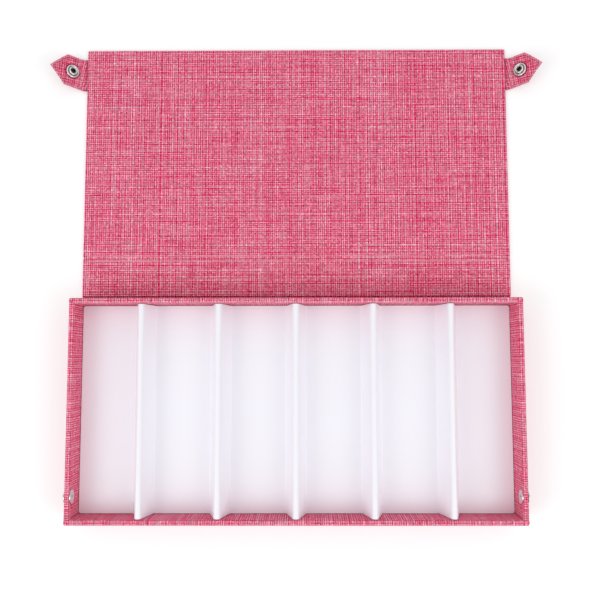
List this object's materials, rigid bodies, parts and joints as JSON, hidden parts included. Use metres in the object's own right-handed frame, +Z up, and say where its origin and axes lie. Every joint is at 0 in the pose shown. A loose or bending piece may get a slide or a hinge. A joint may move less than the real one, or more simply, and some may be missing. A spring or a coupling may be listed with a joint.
{
  "type": "bobbin box",
  "caption": "Shallow cloth-covered hinged box with a ridged white insert for rows of flat thread bobbins and snap tabs on the lid.",
  "frame": {"origin": "middle of the tray's footprint, on the underside of the base cloth", "axes": "+X to the right along the tray's front, +Y back towards the opened lid, +Z up"},
  "size_m": [0.3476, 0.3322, 0.026],
  "materials": {
    "slub_cloth": "matte",
    "grey_board": "matte",
    "satin_sheet": "satin",
    "nickel_snap": "polished",
    "spring_wire": "satin"
  },
  "bodies": {
    "tray": {"base_board": "grey_board", "base_cloth": "slub_cloth", "tray_floor_board": "grey_board", "divider_insert": "satin_sheet", "front_wall_board": "grey_board", "front_wall_cloth": "slub_cloth", "back_wall_board": "grey_board", "back_wall_cloth": "slub_cloth", "left_wall_board": "grey_board", "left_wall_cloth": "slub_cloth", "right_wall_board": "grey_board", "right_wall_cloth": "slub_cloth", "left_snap_stud": "nickel_snap", "left_stud_rivet": "nickel_snap", "right_snap_stud": "nickel_snap", "right_stud_rivet": "nickel_snap"},
    "spine": {"spine_board": "grey_board", "spine_cloth": "slub_cloth", "spine_lining": "slub_cloth"},
    "lid": {"lid_board": "grey_board", "lid_cloth": "slub_cloth", "lid_lining": "slub_cloth", "left_tab_root": "slub_cloth", "right_tab_root": "slub_cloth"},
    "left_tab": {"left_tab_outer_ply": "slub_cloth", "left_tab_inner_ply": "slub_cloth", "left_snap_socket": "nickel_snap", "left_ring_spring": "spring_wire", "left_snap_cap": "nickel_snap"},
    "right_tab": {"right_tab_outer_ply": "slub_cloth", "right_tab_inner_ply": "slub_cloth", "right_snap_socket": "nickel_snap", "right_ring_spring": "spring_wire", "right_snap_cap": "nickel_snap"}
  },
  "joints": [
    {"name": "spine_hinge", "type": "hinge", "parent": "tray", "child": "spine", "pos_m": [0, 0.07755, 0.00025], "axis": [1, 0, 0], "range_deg": [0, 90]},
    {"name": "lid_hinge", "type": "hinge", "parent": "spine", "child": "lid", "pos_m": [0, 0.10585, 0.00025], "axis": [1, 0, 0], "range_deg": [0, 90]},
    {"name": "left_tab_fold", "type": "hinge", "parent": "lid", "child": "left_tab", "pos_m": [-0.15575, 0.2396, 0.0016], "axis": [0, 1, 0], "range_deg": [-38, 52]},
    {"name": "right_tab_fold", "type": "hinge", "parent": "lid", "child": "right_tab", "pos_m": [0.15575, 0.2396, 0.0016], "axis": [0, -1, 0], "range_deg": [-38, 52]}
  ]
}
